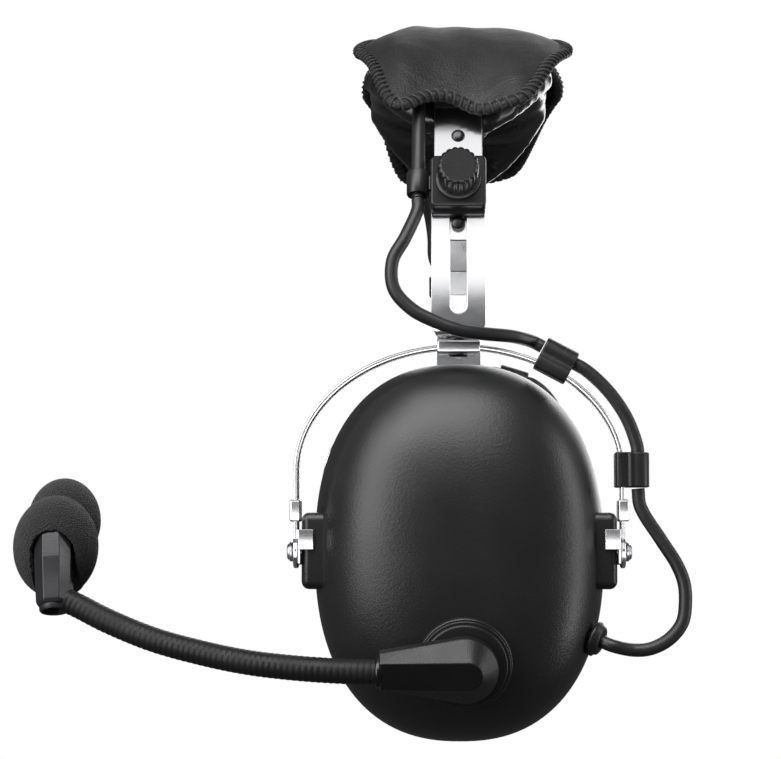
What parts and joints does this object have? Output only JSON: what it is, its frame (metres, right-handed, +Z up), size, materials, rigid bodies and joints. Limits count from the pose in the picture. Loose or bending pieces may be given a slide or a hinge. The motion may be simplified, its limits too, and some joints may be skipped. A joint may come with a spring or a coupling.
{
  "type": "aviation headset",
  "caption": "Aviation headset: padded sprung headband, two ear domes that slide, swivel and tilt on stirrups, boom microphone on a gooseneck, crossover cable.",
  "frame": {"origin": "middle of the head pad's underside, where the headset rests on the head", "axes": "+Z up, -X forward (the wearer's nose), +Y the wearer's right; the boom is on the left ear dome"},
  "size_m": [0.1945, 0.1863, 0.2323],
  "materials": {
    "shell_plastic": "satin black moulded plastic",
    "chrome": "polished and plated spring steel",
    "steel": "plain steel",
    "black_metal": "black anodised, machine turned face",
    "pad_leather": "soft black leatherette",
    "vinyl": "smooth glossy black vinyl over foam",
    "foam": "open-cell black foam",
    "cable_rubber": "satin black cable jacket",
    "black_rubber": "moulded black rubber",
    "neck_sleeve": "ribbed black sleeve over a steel gooseneck",
    "mic_metal": "satin dark grey metal",
    "speaker_cover": "black acoustic cloth over the driver"
  },
  "bodies": {
    "headband": {"headband_spring": "chrome", "head_pad_cover": "pad_leather", "head_pad_cushion": "vinyl", "crossover_cable": "cable_rubber", "left_pad_strap": "pad_leather", "left_clamp_block": "black_metal", "left_clamp_nut_plate": "steel", "left_cable_ring": "black_rubber", "right_pad_strap": "pad_leather", "right_clamp_block": "black_metal", "right_clamp_nut_plate": "steel", "right_cable_ring": "black_rubber"},
    "left_knob": {"left_adjusting_knob": "black_metal"},
    "left_strap": {"left_adjusting_strap": "chrome", "left_cable_link": "cable_rubber"},
    "left_stirrup": {"left_stirrup_band": "chrome", "left_stirrup_sleeve": "chrome", "left_swivel_rivet": "steel", "left_upper_cable_clip": "black_rubber", "left_lower_cable_clip": "black_rubber", "left_stirrup_cable": "cable_rubber"},
    "left_dome": {"left_ear_dome": "shell_plastic", "left_front_pivot_screw": "steel", "left_rear_pivot_screw": "steel", "left_front_pivot_clip": "chrome", "left_rear_pivot_clip": "chrome", "left_foam_liner": "foam", "left_baffle_plate": "shell_plastic", "left_speaker": "speaker_cover", "left_ear_seal": "vinyl", "left_cable_grommet": "black_rubber", "left_dome_cable": "cable_rubber", "boom_flange": "shell_plastic"},
    "right_knob": {"right_adjusting_knob": "black_metal"},
    "right_strap": {"right_adjusting_strap": "chrome", "right_cable_link": "cable_rubber"},
    "right_stirrup": {"right_stirrup_band": "chrome", "right_stirrup_sleeve": "chrome", "right_swivel_rivet": "steel", "right_upper_cable_clip": "black_rubber", "right_stirrup_cable": "cable_rubber"},
    "right_dome": {"right_ear_dome": "shell_plastic", "right_front_pivot_screw": "steel", "right_rear_pivot_screw": "steel", "right_front_pivot_clip": "chrome", "right_rear_pivot_clip": "chrome", "right_foam_liner": "foam", "right_baffle_plate": "shell_plastic", "right_speaker": "speaker_cover", "right_ear_seal": "vinyl", "right_cable_grommet": "black_rubber", "right_dome_cable": "cable_rubber", "right_comm_cord_gland": "black_rubber"},
    "boom": {"boom_holder": "shell_plastic", "gooseneck": "neck_sleeve"},
    "mic": {"mic_housing": "mic_metal", "mic_element": "steel", "windscreen": "foam"}
  },
  "joints": [
    {"name": "left_knob_turn", "type": "hinge", "parent": "headband", "child": "left_knob", "pos_m": [0, -0.0659, -0.04065], "axis": [0, -0.9593, 0.2823], "range_deg": [0, 360]},
    {"name": "left_strap_slide", "type": "hinge", "parent": "headband", "child": "left_strap", "pos_m": [0, 0.078, -0.083], "axis": [-1, 0, 0], "range_deg": [0, 8.4], "deforming": ["left_cable_link"]},
    {"name": "left_stirrup_swivel", "type": "hinge", "parent": "left_strap", "child": "left_stirrup", "pos_m": [0, -0.0665, -0.085], "axis": [0, 0, 1], "range_deg": [-20, 20], "deforming": ["left_cable_link"]},
    {"name": "left_dome_tilt", "type": "hinge", "parent": "left_stirrup", "child": "left_dome", "pos_m": [0, -0.0665, -0.145], "axis": [1, 0, 0], "range_deg": [-10, 10], "deforming": ["left_dome_cable"]},
    {"name": "right_knob_turn", "type": "hinge", "parent": "headband", "child": "right_knob", "pos_m": [0, 0.0659, -0.04065], "axis": [0, 0.9593, 0.2823], "range_deg": [0, 360]},
    {"name": "right_strap_slide", "type": "hinge", "parent": "headband", "child": "right_strap", "pos_m": [0, -0.078, -0.083], "axis": [1, 0, 0], "range_deg": [0, 8.4], "deforming": ["right_cable_link"]},
    {"name": "right_stirrup_swivel", "type": "hinge", "parent": "right_strap", "child": "right_stirrup", "pos_m": [0, 0.0665, -0.085], "axis": [0, 0, 1], "range_deg": [-20, 20], "deforming": ["right_cable_link"]},
    {"name": "right_dome_tilt", "type": "hinge", "parent": "right_stirrup", "child": "right_dome", "pos_m": [0, 0.0665, -0.145], "axis": [1, 0, 0], "range_deg": [-10, 10], "deforming": ["right_dome_cable"]},
    {"name": "boom_turn", "type": "hinge", "parent": "left_dome", "child": "boom", "pos_m": [0.0015, -0.0857, -0.176], "axis": [0, -0.9613, -0.2756], "range_deg": [-60, 210]},
    {"name": "boom_flex", "type": "hinge", "parent": "boom", "child": "mic", "pos_m": [-0.072, -0.083, -0.1728], "axis": [0, 0, 1], "range_deg": [-25, 25], "deforming": ["gooseneck"]}
  ]
}
